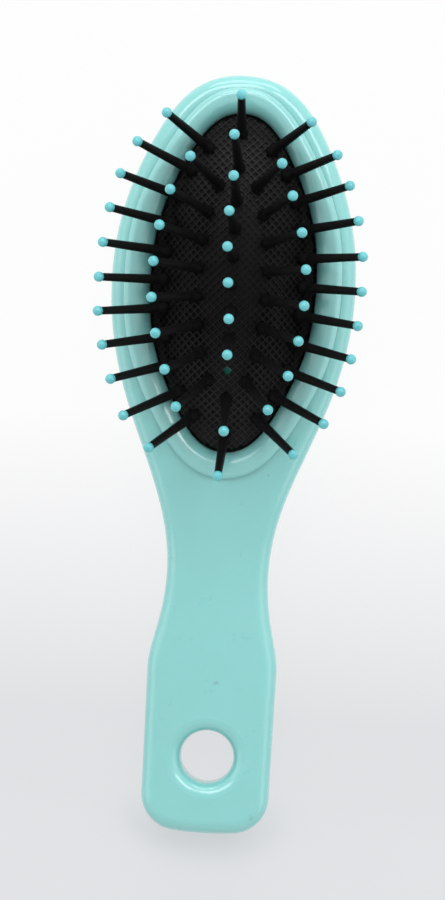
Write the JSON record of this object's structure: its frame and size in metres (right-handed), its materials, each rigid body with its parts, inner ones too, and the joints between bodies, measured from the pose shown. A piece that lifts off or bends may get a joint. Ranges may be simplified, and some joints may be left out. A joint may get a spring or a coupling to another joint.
{
  "type": "cushion hairbrush",
  "caption": "Small oval cushion hairbrush: moulded handle with a hanging hole, clamping ring, domed rubber pad that presses in, and splayed ball-tipped pins.",
  "frame": {"origin": "on the flat back, below the middle of the brush's length and width", "axes": "+Y along the brush towards the head, +Z out of the pin side, +X across"},
  "size_m": [0.06, 0.17, 0.0399],
  "materials": {
    "mint_plastic": "glossy moulded plastic, mint green-blue",
    "mint_ring": "glossy moulded plastic, mint green-blue",
    "pad_rubber": "black rubber with a fine raised lattice",
    "pin_nylon": "black nylon, satin",
    "tip_resin": "glossy dipped resin, light turquoise"
  },
  "bodies": {
    "brush": {"handle_body": "mint_plastic", "rim_ring": "mint_ring", "cushion": "pad_rubber"},
    "centre_1": {"centre_pins_1": "pin_nylon", "centre_tips_1": "tip_resin"},
    "centre_2": {"centre_pins_2": "pin_nylon", "centre_tips_2": "tip_resin"},
    "centre_3": {"centre_pins_3": "pin_nylon", "centre_tips_3": "tip_resin"},
    "inner_1": {"inner_pins_1": "pin_nylon", "inner_tips_1": "tip_resin"},
    "inner_2": {"inner_pins_2": "pin_nylon", "inner_tips_2": "tip_resin"},
    "inner_3": {"inner_pins_3": "pin_nylon", "inner_tips_3": "tip_resin"},
    "inner_4": {"inner_pins_4": "pin_nylon", "inner_tips_4": "tip_resin"},
    "inner_5": {"inner_pins_5": "pin_nylon", "inner_tips_5": "tip_resin"},
    "outer_1": {"outer_pins_1": "pin_nylon", "outer_tips_1": "tip_resin"},
    "outer_2": {"outer_pins_2": "pin_nylon", "outer_tips_2": "tip_resin"},
    "outer_3": {"outer_pins_3": "pin_nylon", "outer_tips_3": "tip_resin"},
    "outer_4": {"outer_pins_4": "pin_nylon", "outer_tips_4": "tip_resin"},
    "outer_5": {"outer_pins_5": "pin_nylon", "outer_tips_5": "tip_resin"},
    "outer_6": {"outer_pins_6": "pin_nylon", "outer_tips_6": "tip_resin"},
    "outer_7": {"outer_pins_7": "pin_nylon", "outer_tips_7": "tip_resin"}
  },
  "joints": [
    {"name": "cushion_press", "type": "slide", "parent": "brush", "child": "centre_1", "axis": [0, 0, -1], "range_m": [0, 0.0035], "stiffness_N_per_m": 1000, "deforming": ["cushion"]},
    {"name": "centre_2_sink", "type": "slide", "parent": "brush", "child": "centre_2", "axis": [0, 0, -1], "range_m": [0, 0.00313]},
    {"name": "centre_3_sink", "type": "slide", "parent": "brush", "child": "centre_3", "axis": [0, 0, -1], "range_m": [0, 0.00267]},
    {"name": "inner_1_sink", "type": "slide", "parent": "brush", "child": "inner_1", "axis": [0, 0, -1], "range_m": [0, 0.00188]},
    {"name": "inner_2_sink", "type": "slide", "parent": "brush", "child": "inner_2", "axis": [0, 0, -1], "range_m": [0, 0.00217]},
    {"name": "inner_3_sink", "type": "slide", "parent": "brush", "child": "inner_3", "axis": [0, 0, -1], "range_m": [0, 0.0025]},
    {"name": "inner_4_sink", "type": "slide", "parent": "brush", "child": "inner_4", "axis": [0, 0, -1], "range_m": [0, 0.00273]},
    {"name": "inner_5_sink", "type": "slide", "parent": "brush", "child": "inner_5", "axis": [0, 0, -1], "range_m": [0, 0.00285]},
    {"name": "outer_1_sink", "type": "slide", "parent": "brush", "child": "outer_1", "axis": [0, 0, -1], "range_m": [0, 0.000757]},
    {"name": "outer_2_sink", "type": "slide", "parent": "brush", "child": "outer_2", "axis": [0, 0, -1], "range_m": [0, 0.000825]},
    {"name": "outer_3_sink", "type": "slide", "parent": "brush", "child": "outer_3", "axis": [0, 0, -1], "range_m": [0, 0.000909]},
    {"name": "outer_4_sink", "type": "slide", "parent": "brush", "child": "outer_4", "axis": [0, 0, -1], "range_m": [0, 0.000984]},
    {"name": "outer_5_sink", "type": "slide", "parent": "brush", "child": "outer_5", "axis": [0, 0, -1], "range_m": [0, 0.00104]},
    {"name": "outer_6_sink", "type": "slide", "parent": "brush", "child": "outer_6", "axis": [0, 0, -1], "range_m": [0, 0.00108]},
    {"name": "outer_7_sink", "type": "slide", "parent": "brush", "child": "outer_7", "axis": [0, 0, -1], "range_m": [0, 0.00109]}
  ],
  "couplings": [
    {"joint": "centre_2_sink", "follows": "cushion_press", "ratio": 0.8939},
    {"joint": "centre_3_sink", "follows": "cushion_press", "ratio": 0.7612},
    {"joint": "inner_1_sink", "follows": "cushion_press", "ratio": 0.537},
    {"joint": "inner_2_sink", "follows": "cushion_press", "ratio": 0.6185},
    {"joint": "inner_3_sink", "follows": "cushion_press", "ratio": 0.7137},
    {"joint": "inner_4_sink", "follows": "cushion_press", "ratio": 0.7803},
    {"joint": "inner_5_sink", "follows": "cushion_press", "ratio": 0.8141},
    {"joint": "outer_1_sink", "follows": "cushion_press", "ratio": 0.2159},
    {"joint": "outer_2_sink", "follows": "cushion_press", "ratio": 0.2352},
    {"joint": "outer_3_sink", "follows": "cushion_press", "ratio": 0.2593},
    {"joint": "outer_4_sink", "follows": "cushion_press", "ratio": 0.2807},
    {"joint": "outer_5_sink", "follows": "cushion_press", "ratio": 0.2968},
    {"joint": "outer_6_sink", "follows": "cushion_press", "ratio": 0.3068},
    {"joint": "outer_7_sink", "follows": "cushion_press", "ratio": 0.3101}
  ]
}
